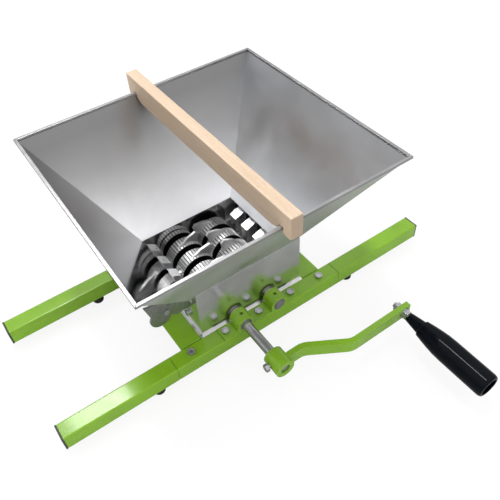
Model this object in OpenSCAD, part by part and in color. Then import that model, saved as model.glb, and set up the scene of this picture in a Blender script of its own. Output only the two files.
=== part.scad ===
// Hand-cranked fruit crusher: two toothed rollers in a sheet-metal mill box, a hopper on
// top, and a square-tube frame that stands on rubber feet or lies across a tub.
// The model is drawn round the centre of the mill box and shifted at the end, so that
// the origin lies on the floor under the middle of the whole object.

/* [Frame] */
// Width of the square rail and leg tube
tube_w = 25; // [20:1:32]
// Wall of the rail and leg tube
tube_wall = 2; // [1.5:0.25:3]
// Length from one leg end to the other, without the caps
frame_len = 598; // [500:1:800]
// Length of the centre rails between the two leg joints
centre_len = 276; // [264:2:292]
// Gap between the mill box and each rail
rail_clear = 1; // [1:0.25:3]
// Length of the inner tube that joins a leg to its rail
spigot_in = 44; // [40:1:60]
// Wall of the inner joining tube
spigot_wall = 1.5; // [1:0.25:2.5]
// Distance of a leg bolt from the end of its rail
leg_bolt_in = 28; // [20:1:34]
// Distance of the cross plates from the ends of the rails
cross_in = 19; // [10:1:30]
// Thickness of the cross plates
cross_t = 3; // [2:0.5:5]
// Height of the rubber feet
foot_h = 15; // [10:1:25]
// Radius of a rubber foot at its top
foot_r = 8.5; // [7:0.5:11]
// Distance of the feet from the ends of the rails
foot_out = 28; // [24:1:100]
// Thickness of the plastic end caps outside the tube
cap_t = 2.6; // [1:0.2:4]

/* [Mill box] */
// Width of the mill box along the rails
box_w = 168; // [162:1:180]
// Depth of the mill box between the rails
box_d = 168; // [150:1:190]
// Sheet thickness of the mill box
box_t = 1.5; // [1:0.1:2]
// Height of the box skirt above the floor
skirt_z = 6; // [3:1:12]
// Width of the lip that rests on the frame
lip_w = 3.5; // [2:0.5:5]

/* [Hopper] */
// Length of the hopper mouth along the rails
mouth_w = 364; // [300:2:420]
// Width of the hopper mouth across the rails
mouth_d = 336; // [280:2:400]
// Height of the hopper rim above the rails
rim_rise = 230; // [200:2:280]
// Height of the hopper foot above the rails
foot_rise = 64; // [60:0.5:72]
// Distance of the hopper's foot from the box's front and rear faces
foot_in = 15.6; // [9:0.2:20]
// Distance of the right hopper wall's foot from the box's right face
right_foot_in = 14.5; // [9:0.1:20]
// Drop of the left hopper wall below the foot of the others
left_drop = 6; // [0:0.5:8]
// Sheet thickness of the hopper, measured level
sheet_t = 1.4; // [1:0.1:2]
// Height of the hemmed rim band
hem_h = 3.5; // [3:0.5:6]
// Step of the hem outside the hopper wall
hem_out = 0.6; // [0.4:0.1:1.5]

/* [Rollers] */
// Height of the two roller axes above the rails
axis_rise = 10; // [10:0.25:14]
// Module of the roller gears
gear_m = 3; // [2.9:0.05:3.2]
// Teeth on each roller gear
gear_teeth = 19; // [19:1:20]
// Face width of the roller gears
gear_w = 14; // [8:1:20]
// Radius of both roller shafts
shaft_r = 7; // [6.4:0.1:7.4]
// Radius of a crushing ring over its ribs
ring_r = 28; // [26:0.25:28.2]
// Height of the ribs
rib_h = 1.5; // [1:0.1:3]
// Radius of the blade tips
blade_r = 46; // [40:0.5:46]
// Thickness of a blade
blade_t = 4; // [3:0.25:4.5]
// Distance of a blade from the nearer face of its ring
blade_in = 4.1; // [3:0.1:5]
// Gap between a blade and the rings of the other roller
blade_gap = 1.6; // [1:0.1:1.8]
// Gap between the rings on one shaft
ring_gap = 10; // [9.5:0.25:11]
// Turn from one ring to the next
ring_twist = 10; // [0:1:20]
// Gap between the first drive ring and the box
ring_front_gap = 4.9; // [4:0.1:6]
// Gap between the end ring and the box
ring_end_gap = 1; // [0.5:0.25:2]
// Thickness of the plain ring at the rear end of the drive shaft
end_ring_w = 9.1; // [7:0.1:9.5]
// Radius of the sleeves between the rings
sleeve_r = 10; // [9:0.25:10.5]

/* [Combs] */
// Width of a left finger
left_finger_w = 16; // [10:0.5:17]
// Gap from a drive blade to the finger behind it
left_finger_gap = 1.5; // [1:0.25:3]
// Width of a right finger
right_finger_w = 15.5; // [10:0.5:16]
// Gap from an idler blade to the finger behind it
right_finger_gap = 0.5; // [0.5:0.25:2]
// Reach of the left fingers from the wall
left_reach = 16.3; // [14:0.1:22]
// Reach of the right fingers from the wall
right_reach = 25.3; // [20:0.1:30]
// Height of the finger tips above the rails
finger_tip_rise = 45; // [42:0.5:48]
// Rise of the left fingers from their tips to the wall
left_finger_rise = 10.5; // [5:0.5:12]
// Rise of the right fingers from their tips to the wall
right_finger_rise = 10; // [5:0.5:12]
// Thickness of the bar that joins the fingers
comb_bar_t = 6; // [4:0.5:8]

/* [Bearing blocks] */
// Thickness of the block pads
pad_t = 4; // [3:0.5:6]
// Distance from the mill centre to an outer pad end
pad_end_x = 63.5; // [61:0.5:68]
// Distance from the mill centre to the outer block bolts
block_bolt_x = 56; // [54:0.5:58]
// Radius of the round top of a housing
housing_r = 13.5; // [12:0.25:15]
// Wall of the bronze bushes
bush_wall = 2.4; // [1.5:0.1:2.8]
// Radius of the oil holes
oil_r = 2.4; // [1:0.1:3]

/* [Crank] */
// Distance from the drive shaft to the grip axle
throw = 183.5; // [150:0.5:220]
// Radius of the crank hub
hub_r = 14; // [12:0.5:18]
// Length of the crank hub
hub_len = 28; // [22:1:36]
// Free length of shaft between the front block and the hub
shaft_free = 60; // [40:1:90]
// Thickness of the crank arm
arm_t = 8; // [6:0.5:10]
// Height of the crank arm
arm_h = 20; // [14:0.5:24]
// Outward set of the arm between its two bends
arm_offset = 34; // [15:1:50]
// Radius of the grip axle
axle_r = 4; // [3:0.25:5]
// Length of the grip
grip_len = 133.5; // [100:0.5:160]
// Radius of the grip next to the nut
grip_neck_r = 6.8; // [6:0.1:9]
// Radius of the grip before its step
grip_waist_r = 9.8; // [8:0.1:12]
// Radius of the grip after its step
grip_step_r = 12.2; // [10:0.1:15]
// Radius of the grip at its thick end
grip_r = 17; // [14:0.5:20]

/* [Wooden bar] */
// Width of the bar
bar_w = 16; // [12:1:30]
// Height of the bar
bar_h = 33; // [24:1:45]
// Length of the bar past the rim at each end
bar_over = 15; // [10:1:30]
// Depth of the slots that sit over the rim
bar_slot = 10.4; // [8:0.2:14]
// Place of the bar along the hopper
bar_x = -1.5; // [-60:0.5:60]

/* [Fasteners] */
// Radius of the frame bolts
bolt_r = 3; // [2.5:0.25:4]
// Width of the roller keys
key_w = 4; // [3:0.5:5]
// Width across the flats of the frame bolts
bolt_af = 10; // [9:0.5:13]
// Height of a bolt head
head_h = 4; // [3:0.5:6]
// Height of a nut
nut_h = 5; // [4:0.5:7]

/* [Clearances] */
// Radial gap between a shaft and its bush
run_gap = 0.05; // [0.02:0.01:0.08]
// Gap between parts that are bolted or slid together
fit_gap = 0.2; // [0.1:0.05:0.3]
// Gap between a bolt and its hole
hole_gap = 0.3; // [0.2:0.05:0.5]
// Open seam between a leg and its rail
leg_seam = 0.7; // [0.2:0.1:1.5]
// Gap between a moving piece and what it passes
move_gap = 0.4; // [0.3:0.05:0.6]

/* [Hidden] */
RINGS_DRIVE = 6;
RINGS_IDLER = 5;
$fn = 48;

rail_gap = box_d + 2 * rail_clear;
rail_y = (rail_gap + tube_w) / 2;
leg_bolt_x = centre_len / 2 - leg_bolt_in;
cross_end_x = centre_len / 2 - cross_in;
foot_x = centre_len / 2 + foot_out;
rail_top = foot_h + tube_w;
half_w = box_w / 2;
half_d = box_d / 2;
axis_x = gear_m * gear_teeth / 2;
axis_z = rail_top + axis_rise;

rim_z = rail_top + rim_rise;
hopper_foot_z = rail_top + foot_rise;
wall_gap = 0.1;
foot_left_x = half_w - box_t - wall_gap;
foot_right_x = half_w - right_foot_in;
foot_half_y = half_d - foot_in;
left_foot_z = hopper_foot_z - left_drop;
run_y = (mouth_d / 2 - foot_half_y) / (rim_z - hopper_foot_z);
run_right = (mouth_w / 2 - foot_right_x) / (rim_z - hopper_foot_z);

// Outer half sizes of the hopper at a height, left and right of the middle and in depth
function out_left(z) = foot_left_x + (mouth_w / 2 - foot_left_x) * (z - left_foot_z) / (rim_z - left_foot_z);
function out_right(z) = foot_right_x + run_right * (z - hopper_foot_z);
function out_y(z) = foot_half_y + run_y * (z - hopper_foot_z);

front_top_z = hopper_foot_z + (half_d - box_t - foot_half_y) / run_y - fit_gap;
right_top_z = hopper_foot_z + (half_w - box_t - foot_right_x) / run_right - fit_gap;

ring_pitch = (box_d - 2 * box_t - ring_front_gap - end_ring_w - ring_end_gap) / (RINGS_DRIVE - 1);
ring_w = ring_pitch - ring_gap;

// Front faces of the rings of both rollers, and rear faces of their blades
function drive_front(i) = box_t - half_d + ring_front_gap + (i - 1) * ring_pitch;
function idler_front(i) = drive_front(i) + blade_in + blade_t + blade_gap;
function drive_blade_rear(i) = drive_front(i) + blade_in + blade_t;
function idler_blade_rear(i) = idler_front(i) + ring_w - blade_in;

block_gap = 1;
pad_back_y = half_d + lip_w + block_gap;
pad_front_y = rail_y + tube_w / 2;
pad_mid_y = (pad_back_y + pad_front_y) / 2;
block_len = pad_front_y - pad_back_y;
bush_r = shaft_r + run_gap + bush_wall;

hub_back_y = -pad_front_y - shaft_free;
hub_front_y = hub_back_y - hub_len;
arm_on_hub = 17;
arm_in_y = hub_back_y - arm_on_hub;
arm_out_y = arm_in_y - arm_offset;
hub_bolt_y = arm_in_y + 5;
grip_x = -axis_x + throw;
axle_nut_af = 13;
axle_nut_h = 6.5;
washer_t = 1.6;
nut_front_y = arm_out_y - arm_t / 2 - washer_t - axle_nut_h;
grip_play = 1;
grip_back_y = nut_front_y - grip_play;
grip_front_y = grip_back_y - grip_len;
grip_hollow = 27;
axle_head_y = grip_front_y + grip_hollow - 0.6;

gear_hub_l = 3;
gear_gap_y = pad_front_y + gear_hub_l;
shaft_past_gear = 2;
shaft_rear_y = gear_gap_y + gear_w + shaft_past_gear;

row_shift_y = -(grip_front_y + mouth_d / 2 + hem_out + bar_over) / 2;

module in_row_frame() {
    translate([0, row_shift_y, 0]) children();
}

// A round bar along +Y between two places
module rod_y(x, z, y0, y1, r) {
    translate([x, min(y0, y1), z]) rotate([-90, 0, 0]) cylinder(h = abs(y1 - y0), r = r);
}

// A hexagon prism along Z, standing on the given point
module hex_z(af, h) {
    cylinder(h = h, r = af / 2 / cos(30), $fn = 6);
}

// A hexagon prism along +Y with its back face at y0
module hex_y(x, z, y0, h, af) {
    translate([x, y0, z]) rotate([-90, 0, 0]) cylinder(h = h, r = af / 2 / cos(30), $fn = 6);
}

// A square tube along X from x0 to x1, centred on a rail line
module tube_x(x0, x1, y, outer, inner) {
    difference() {
        translate([x0, y - outer / 2, foot_h + tube_w / 2 - outer / 2]) cube([x1 - x0, outer, outer]);
        translate([x0 - 1, y - inner / 2, foot_h + tube_w / 2 - inner / 2])
            cube([x1 - x0 + 2, inner, inner]);
    }
}

module hole_z(x, y, z0, z1, r) {
    translate([x, y, z0]) cylinder(h = z1 - z0, r = r);
}

/* Frame */

module centre_rail(side) {
    y = side * rail_y;
    color("yellowgreen") difference() {
        tube_x(-centre_len / 2, centre_len / 2, y, tube_w, tube_w - 2 * tube_wall);
        for (x = [-leg_bolt_x, leg_bolt_x])
            hole_z(x, y, foot_h - 1, rail_top + 1, bolt_r + hole_gap);
        for (x = [-block_bolt_x, 0, block_bolt_x])
            hole_z(x, side * pad_mid_y, foot_h - 1, rail_top + 1, bolt_r + hole_gap);
    }
}

module cross_plate(side) {
    inner = half_w + fit_gap;
    color("olivedrab") translate([side > 0 ? inner : -cross_end_x, -rail_gap / 2, rail_top - cross_t])
        cube([cross_end_x - inner, rail_gap, cross_t]);
}

module leg(side_x, side_y) {
    inner_w = tube_w - 2 * tube_wall;
    spigot_w = inner_w - 2 * fit_gap;
    joint_x = centre_len / 2 + leg_seam;
    y = side_y * rail_y;
    weld_len = 20;
    color("yellowgreen") mirror([side_x < 0 ? 1 : 0, 0, 0]) difference() {
        union() {
            tube_x(joint_x, frame_len / 2, y, tube_w, inner_w);
            tube_x(joint_x, joint_x + weld_len, y, inner_w + 0.4, spigot_w - 2 * spigot_wall);
            tube_x(joint_x - spigot_in, joint_x + 1, y, spigot_w, spigot_w - 2 * spigot_wall);
        }
        hole_z(leg_bolt_x, y, foot_h, rail_top, bolt_r + hole_gap);
        hole_z(foot_x, y, foot_h - 1, foot_h + tube_wall + 4, screw_r + fit_gap);
    }
}

module end_cap(side_x, side_y) {
    plug_w = tube_w - 2 * tube_wall - 2 * fit_gap;
    plug_len = 10;
    mid_z = foot_h + tube_w / 2;
    translate([side_x * frame_len / 2, side_y * rail_y, mid_z]) mirror([side_x < 0 ? 1 : 0, 0, 0]) {
        translate([0.1, -tube_w / 2, -tube_w / 2]) cube([cap_t, tube_w, tube_w]);
        translate([-plug_len, -plug_w / 2, -plug_w / 2]) cube([plug_len + 0.5, plug_w, plug_w]);
    }
}

module end_caps() {
    color("dimgray") for (sx = [-1, 1], sy = [-1, 1]) end_cap(sx, sy);
}

screw_r = 2.4;
screw_head_r = 4.5;
screw_head_h = 2.6;
foot_recess = 6;

module rubber_feet() {
    color([0.12, 0.12, 0.12]) for (sx = [-1, 1], sy = [-1, 1])
        translate([sx * foot_x, sy * rail_y, 0]) rotate_extrude() difference() {
            union() {
                translate([0, 3]) square([foot_r, foot_h - 3]);
                square([foot_r - 1.5, 4]);
                translate([foot_r - 3, 3]) circle(r = 3, $fn = 32);
            }
            translate([-10, -1]) square([10, foot_h + 2]);
            translate([-1, -1]) square([1 + screw_r + fit_gap, foot_h + 2]);
            translate([-1, -4]) square([1 + screw_head_r + 0.5, 4 + foot_recess]);
        }
}

module foot_screws() {
    color("silver") for (sx = [-1, 1], sy = [-1, 1]) translate([sx * foot_x, sy * rail_y, 0]) {
        translate([0, 0, foot_recess - screw_head_h]) cylinder(h = screw_head_h, r = screw_head_r);
        translate([0, 0, foot_recess - 0.5]) cylinder(h = foot_h - foot_recess + tube_wall + 6, r = screw_r);
    }
}

module hex_bolt(x, y, seat_z) {
    translate([x, y, seat_z]) hex_z(bolt_af, head_h);
    tip_z = foot_h - nut_h - 2;
    translate([x, y, tip_z]) cylinder(h = seat_z - tip_z + 1, r = bolt_r);
}

module leg_bolts() {
    color("silver") for (sx = [-1, 1], sy = [-1, 1]) hex_bolt(sx * leg_bolt_x, sy * rail_y, rail_top);
}

module block_bolts() {
    color("silver") for (x = [-block_bolt_x, 0, block_bolt_x], sy = [-1, 1])
        hex_bolt(x, sy * pad_mid_y, rail_top + pad_t);
}

module frame_nut(x, y) {
    translate([x, y, foot_h - nut_h]) difference() {
        hex_z(bolt_af, nut_h);
        translate([0, 0, -1]) cylinder(h = nut_h + 2, r = bolt_r + run_gap);
    }
}

module frame_nuts() {
    color("silver") for (sy = [-1, 1]) {
        for (x = [-leg_bolt_x, leg_bolt_x]) frame_nut(x, sy * rail_y);
        for (x = [-block_bolt_x, 0, block_bolt_x]) frame_nut(x, sy * pad_mid_y);
    }
}

/* Mill box */

shaft_hole_r = shaft_r + 2;
washer_r = shaft_r + 3;

module box_end(side) {
    color("gainsboro") mirror([0, side > 0 ? 1 : 0, 0]) difference() {
        union() {
            translate([-half_w, -half_d, skirt_z]) cube([box_w, box_t, front_top_z - skirt_z]);
            translate([-half_w - lip_w, -half_d - lip_w, rail_top])
                cube([box_w + 2 * lip_w, lip_w + box_t, box_t]);
        }
        for (x = [-axis_x, axis_x]) {
            rod_y(x, axis_z, -half_d - 1, -half_d + box_t + 1, shaft_hole_r);
            rod_y(x, axis_z, -half_d - lip_w - 1, -half_d, washer_r + move_gap);
        }
    }
}

// Outline of the left sheet in depth and height: ears follow the hopper's sloping ends
function left_sheet(inner_d) = let (
    foot_y = foot_half_y + fit_gap,
    ear_z = front_top_z - 3,
    ear_y = foot_y + run_y * (ear_z - hopper_foot_z))
    [[-inner_d, skirt_z], [inner_d, skirt_z], [inner_d, ear_z], [ear_y, ear_z],
     [foot_y, hopper_foot_z], [foot_y - fit_gap, left_foot_z], [fit_gap - foot_y, left_foot_z],
     [-foot_y, hopper_foot_z], [-ear_y, ear_z], [-inner_d, ear_z]];

// Outline of the right sheet, which ends level under the sloping wall
function right_sheet(inner_d) =
    [[-inner_d, skirt_z], [inner_d, skirt_z], [inner_d, right_top_z], [-inner_d, right_top_z]];

module box_side(side) {
    inner_d = half_d - box_t;
    lip_end = inner_d - 1;
    color("gainsboro") mirror([side > 0 ? 1 : 0, 0, 0]) difference() {
        union() {
            translate([-half_w, 0, 0]) rotate([90, 0, 90]) linear_extrude(box_t)
                polygon(side < 0 ? left_sheet(inner_d) : right_sheet(inner_d));
            translate([-half_w - lip_w, -lip_end, rail_top]) cube([lip_w + box_t / 2, 2 * lip_end, box_t]);
        }
        for (y = [-comb_bolt_y, comb_bolt_y])
            translate([-half_w - 1, y, comb_bolt_z]) rotate([0, 90, 0])
                cylinder(h = box_t + 2, r = bolt_r + hole_gap);
    }
}

/* Hopper */

// One sloping wall, mitred into its neighbours, from its foot up to the hem. Its corners are
// given as [-X end, +X end] at the foot and at the top, and its outer faces as distances.
module hopper_wall(foot_ends, top_ends, foot_off, top_off, z0, z1) {
    t = sheet_t;
    polyhedron(
        points = [
            [-foot_ends[0], -foot_off, z0], [foot_ends[1], -foot_off, z0],
            [foot_ends[1] - t, -foot_off + t, z0], [-foot_ends[0] + t, -foot_off + t, z0],
            [-top_ends[0], -top_off, z1], [top_ends[1], -top_off, z1],
            [top_ends[1] - t, -top_off + t, z1], [-top_ends[0] + t, -top_off + t, z1]],
        faces = [[0, 1, 2, 3], [7, 6, 5, 4], [4, 5, 1, 0], [5, 6, 2, 1], [6, 7, 3, 2], [7, 4, 0, 3]]);
}

hem_z = rim_z - hem_h;

module hopper_end(side) {
    z0 = hopper_foot_z;
    color("silver") mirror([0, side > 0 ? 1 : 0, 0])
        hopper_wall([out_left(z0), out_right(z0)], [out_left(hem_z), out_right(hem_z)],
                    out_y(z0), out_y(hem_z), z0, hem_z);
}

module hopper_side(side) {
    z0 = side < 0 ? left_foot_z : hopper_foot_z;
    foot_off = side < 0 ? foot_left_x : foot_right_x;
    top_off = side < 0 ? out_left(hem_z) : out_right(hem_z);
    color("silver") rotate([0, 0, side > 0 ? 90 : -90])
        hopper_wall([out_y(z0), out_y(z0)], [out_y(hem_z), out_y(hem_z)], foot_off, top_off, z0, hem_z);
}

// Four hem bars, mitred at the corners with a hair gap
module hopper_rim() {
    outer = [mouth_w / 2 + hem_out, mouth_d / 2 + hem_out];
    wall = (rim_z - hem_z) * run_y + sheet_t;
    inner = [mouth_w / 2 - wall, mouth_d / 2 - wall];
    gap = run_gap;
    color("white") translate([0, 0, hem_z]) for (s = [-1, 1]) {
        linear_extrude(hem_h) polygon([
            [gap - outer[0], s * outer[1]], [outer[0] - gap, s * outer[1]],
            [inner[0] - gap, s * inner[1]], [gap - inner[0], s * inner[1]]]);
        linear_extrude(hem_h) polygon([
            [s * outer[0], gap - outer[1]], [s * outer[0], outer[1] - gap],
            [s * inner[0], inner[1] - gap], [s * inner[0], gap - inner[1]]]);
    }
}

/* Combs */

comb_bolt_y = half_d - 32;
comb_bolt_z = rail_top + 22;
comb_low_z = rail_top + 6;
finger_tip_z = rail_top + finger_tip_rise;
finger_front_h = 24;
comb_face = half_w - box_t - fit_gap;
left_bar_top = rail_top + 38;
right_bar_top = hopper_foot_z - 1;

// Fingers and bar against the +X wall, cut to reach towards the rollers
module comb(reach, rise, bar_top, finger_w, finger_fronts) {
    tip_x = comb_face - reach;
    difference() {
        union() {
            translate([comb_face - comb_bar_t, -half_d + box_t + fit_gap, comb_low_z])
                cube([comb_bar_t, box_d - 2 * box_t - 2 * fit_gap, bar_top - comb_low_z]);
            for (y = finger_fronts) {
                y0 = max(y, -half_d + box_t + fit_gap);
                y1 = min(y + finger_w, half_d - box_t - fit_gap);
                translate([0, y1, 0]) rotate([90, 0, 0]) linear_extrude(y1 - y0) polygon([
                    [comb_face, finger_tip_z + rise], [tip_x, finger_tip_z],
                    [tip_x, finger_tip_z - finger_front_h], [comb_face - comb_bar_t, comb_low_z + 4],
                    [comb_face, comb_low_z + 4]]);
            }
        }
        for (y = [-comb_bolt_y, comb_bolt_y])
            translate([comb_face - comb_bar_t - 20, y, comb_bolt_z]) rotate([0, 90, 0])
                cylinder(h = comb_bar_t + 40, r = bolt_r + run_gap);
    }
}

module left_comb() {
    color("lightgray") mirror([1, 0, 0])
        comb(left_reach, left_finger_rise, left_bar_top, left_finger_w,
             [for (i = [1:RINGS_DRIVE - 1]) drive_blade_rear(i) + left_finger_gap]);
}

module right_comb() {
    color("white")
        comb(right_reach, right_finger_rise, right_bar_top, right_finger_w,
             [for (i = [0:RINGS_IDLER]) idler_blade_rear(i) + right_finger_gap]);
}

module comb_bolts() {
    color("silver") for (sx = [0, 1], y = [-comb_bolt_y, comb_bolt_y]) mirror([sx, 0, 0]) {
        translate([half_w, y, comb_bolt_z]) rotate([0, 90, 0]) hex_z(bolt_af, head_h);
        translate([half_w + 1, y, comb_bolt_z]) rotate([0, -90, 0])
            cylinder(h = 1 + box_t + fit_gap + comb_bar_t, r = bolt_r);
    }
}

/* Bracket plates outside the left wall */

bracket_t = 3;
bracket_y = -60;
bracket_foot_z = rail_top + 41;
bracket_screw_x = half_w + 35;
bracket_screw_z = rail_top + 61.5;
bracket_hole_r = 2.5;

// Flat plate in the XZ plane with its front face at y0
module plate_xz(y0, t) {
    translate([0, y0 + t, 0]) rotate([90, 0, 0]) linear_extrude(t) children();
}

// Plate fixed to the wall by a bent flange
module bracket_inner() {
    wall_x = -half_w - fit_gap;
    color("gray") difference() {
        union() {
            plate_xz(bracket_y, bracket_t) {
                translate([wall_x - 41, bracket_foot_z + 15]) square([27, 10]);
                translate([wall_x - 16, bracket_foot_z + 1]) square([16, 13]);
                translate([wall_x - 16, bracket_foot_z + 14]) circle(r = 14);
            }
            translate([wall_x - bracket_t, bracket_y, bracket_foot_z]) cube([bracket_t, 18, 14]);
        }
        rod_y(-bracket_screw_x, bracket_screw_z, bracket_y - 1, bracket_y + bracket_t + 1, bracket_hole_r);
    }
}

// Plate screwed to the first one, with a straight edge and a rounded foot
module bracket_outer() {
    y0 = bracket_y - fit_gap - bracket_t;
    color("darkgray") difference() {
        plate_xz(y0, bracket_t) {
            translate([-half_w - 44, bracket_foot_z + 13]) circle(r = 15);
            polygon([[-half_w - 63, bracket_foot_z + 47], [-half_w - 50, bracket_foot_z],
                     [-half_w - 30, bracket_foot_z + 10], [-half_w - 30, bracket_foot_z + 31],
                     [-half_w - 35, bracket_foot_z + 40]]);
        }
        rod_y(-bracket_screw_x, bracket_screw_z, y0 - 1, y0 + bracket_t + 1, bracket_hole_r);
    }
}

module bracket_screws() {
    y0 = bracket_y - fit_gap - bracket_t;
    back_y = bracket_y + bracket_t;
    color("silver") {
        rod_y(-bracket_screw_x, bracket_screw_z, y0 - 2.5, y0, screw_head_r);
        rod_y(-bracket_screw_x, bracket_screw_z, y0 - 0.5, back_y + 5, bracket_hole_r - fit_gap);
        hex_y(-bracket_screw_x, bracket_screw_z, back_y, 3.5, 8);
    }
}

/* Bearings */

housing_w = 2 * housing_r;

// Bearing block for the shaft at -X on the front rail; the others are mirrored from it
module bearing_block(side_x, side_y) {
    seam = fit_gap / 2;
    color("limegreen") mirror([side_x > 0 ? 1 : 0, 0, 0]) mirror([0, side_y > 0 ? 1 : 0, 0])
    difference() {
        union() {
            translate([-pad_end_x, -pad_front_y, rail_top]) cube([pad_end_x - seam, block_len, pad_t]);
            translate([-axis_x - housing_r, -pad_front_y, rail_top])
                cube([housing_w, block_len, axis_z - rail_top]);
            rod_y(-axis_x, axis_z, -pad_front_y, -pad_back_y, housing_r);
        }
        translate([-axis_x - housing_w, -pad_front_y - 1, rail_top - housing_r])
            cube([2 * housing_w, block_len + 2, housing_r]);
        rod_y(-axis_x, axis_z, -pad_front_y - 1, -pad_back_y + 1, bush_r);
        hole_z(-block_bolt_x, -pad_mid_y, rail_top - 1, rail_top + pad_t + 1, bolt_r + hole_gap);
        hole_z(0, -pad_mid_y, rail_top - 1, rail_top + pad_t + 1, bolt_r + hole_gap);
        hole_z(-axis_x, -pad_mid_y, axis_z, axis_z + housing_r + 2, oil_r);
    }
}

module bearing_bushes() {
    color("peru") for (sx = [-1, 1], sy = [0, 1]) mirror([0, sy, 0]) difference() {
        rod_y(sx * axis_x, axis_z, -pad_front_y, -pad_back_y, bush_r);
        rod_y(sx * axis_x, axis_z, -pad_front_y - 1, -pad_back_y + 1, shaft_r + run_gap);
        hole_z(sx * axis_x, -pad_mid_y, axis_z, axis_z + bush_r + 1, oil_r);
    }
}

/* Shafts, gears and rollers */

key_low = shaft_r - key_w * 0.6;
key_end_y = half_d - 4;

// Key or keyway on top of a shaft, between two places
module key_bar(x, y0, y1, gap) {
    side = key_w + 2 * gap;
    translate([x - side / 2, y0, axis_z + key_low - gap]) cube([side, y1 - y0, side]);
}

module roller_shaft(x, y0) {
    color("silver") difference() {
        rod_y(x, axis_z, y0, shaft_rear_y, shaft_r);
        key_bar(x, -key_end_y - run_gap, key_end_y + run_gap, run_gap);
        key_bar(x, gear_gap_y, shaft_rear_y + 1, run_gap);
    }
}

module keys(x) {
    color("dimgray") {
        key_bar(x, -key_end_y, key_end_y, 0);
        key_bar(x, gear_gap_y + 0.5, gear_gap_y + gear_w - 0.5, 0);
    }
}

pressure_angle = 20;
tooth_play = 0.3;

// Involute tooth flank: polar angle of the flank at radius r
function inv_deg(a) = (tan(a) - a * PI / 180) * 180 / PI;
function flank_deg(r, rb) = r <= rb ? 0 : inv_deg(acos(rb / r));

module gear_outline(teeth) {
    rp = gear_m * teeth / 2;
    rb = rp * cos(pressure_angle);
    ra = rp + gear_m;
    rf = rp - 1.25 * gear_m;
    half_tooth = 90 / teeth - tooth_play / 2 / rp * 180 / PI;
    base_half = half_tooth + flank_deg(rp, rb);
    steps = 5;
    r0 = max(rb, rf);
    radii = [for (s = [0:steps]) r0 + (ra - r0) * s / steps];
    polygon([for (i = [0:teeth - 1]) let (c = i * 360 / teeth) each concat(
        [[rf * cos(c - base_half - 1), rf * sin(c - base_half - 1)]],
        [for (s = [0:steps]) let (a = c - base_half + flank_deg(radii[s], rb))
            [radii[s] * cos(a), radii[s] * sin(a)]],
        [for (s = [steps:-1:0]) let (a = c + base_half - flank_deg(radii[s], rb))
            [radii[s] * cos(a), radii[s] * sin(a)]],
        [[rf * cos(c + base_half + 1), rf * sin(c + base_half + 1)]])]);
}

module roller_gear(x, turn) {
    color("slategray") difference() {
        union() {
            translate([x, gear_gap_y + gear_w, axis_z]) rotate([90, 0, 0]) rotate(turn)
                linear_extrude(gear_w) gear_outline(gear_teeth);
            rod_y(x, axis_z, pad_front_y + move_gap, gear_gap_y + 1, shaft_r + 5);
        }
        rod_y(x, axis_z, pad_front_y - 1, gear_gap_y + gear_w + 1, shaft_r + run_gap);
        key_bar(x, pad_front_y - 1, gear_gap_y + gear_w + 1, run_gap);
    }
}

RIBS = 36;
BLADES = 3;
RIB_PITCH = 360 / RIBS;

// Ribbed outline of a ring, seen along its axis
module ring_outline() {
    root_r = ring_r - rib_h;
    polygon([for (i = [0:RIBS - 1], q = [[root_r, 0.05], [ring_r, 0.15], [ring_r, 0.75], [root_r, 0.85]])
        let (a = (i + q[1]) * RIB_PITCH) [q[0] * cos(a), q[0] * sin(a)]]);
}

// Corners of a blade as [radius, degrees past the tip]: a long straight back and a steep front
blade_points = [[shaft_r + 8, 60], [ring_r - 0.5, 47], [ring_r + 9.5, 17], [blade_r, 0],
                [blade_r - 1.5, -9], [ring_r - 1, -20], [shaft_r + 8, -30]];

module blade_outline() {
    polygon([for (p = blade_points) [p[0] * cos(p[1]), p[0] * sin(p[1])]]);
}

// Crushing ring from its front face back; a blade leads in the turning direction
module crush_ring(x, front_y, width, blade_y, tip_deg, flip) {
    color("silver") difference() {
        union() {
            translate([x, front_y + width, axis_z]) rotate([90, 0, 0]) linear_extrude(width) ring_outline();
            if (blade_y != undef) translate([x, blade_y, axis_z]) rotate([90, 0, 0])
                for (b = [0:BLADES - 1]) rotate(tip_deg + b * 360 / BLADES) mirror([0, flip, 0])
                    linear_extrude(blade_t) blade_outline();
        }
        rod_y(x, axis_z, front_y - 1, front_y + width + 1, shaft_r + run_gap);
        key_bar(x, front_y - 1, front_y + width + 1, run_gap);
    }
}

drive_tip_deg = 65;
idler_tip_deg = 127;

function drive_width(i) = i < RINGS_DRIVE ? ring_w : end_ring_w;

module drive_ring(i) {
    blade_y = i < RINGS_DRIVE ? drive_blade_rear(i) : undef;
    tip_deg = drive_tip_deg + (i - RINGS_DRIVE + 1) * ring_twist;
    crush_ring(-axis_x, drive_front(i), drive_width(i), blade_y, tip_deg, 0);
}

module idler_ring(i) {
    tip_deg = idler_tip_deg + (i - RINGS_IDLER) * ring_twist;
    crush_ring(axis_x, idler_front(i), ring_w, idler_blade_rear(i), tip_deg, 1);
}

module sleeve(x, y0, y1) {
    difference() {
        rod_y(x, axis_z, y0 + fit_gap / 2, y1 - fit_gap / 2, sleeve_r);
        rod_y(x, axis_z, y0 - 1, y1 + 1, shaft_r + run_gap);
        key_bar(x, y0 - 1, y1 + 1, run_gap);
    }
}

// Washers between the bearing blocks and the box ends
module thrust_washers(x) {
    for (side = [0, 1]) mirror([0, side, 0]) difference() {
        rod_y(x, axis_z, -pad_back_y + move_gap, -half_d - move_gap, washer_r);
        rod_y(x, axis_z, -pad_back_y - 1, -half_d + 1, shaft_r + run_gap);
    }
}

module drive_spacers() {
    end_y = half_d - box_t - move_gap;
    color("darkslategray") {
        sleeve(-axis_x, -end_y, drive_front(1));
        for (i = [1:RINGS_DRIVE - 1])
            sleeve(-axis_x, drive_front(i) + ring_w, drive_front(i + 1));
        thrust_washers(-axis_x);
    }
}

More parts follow.
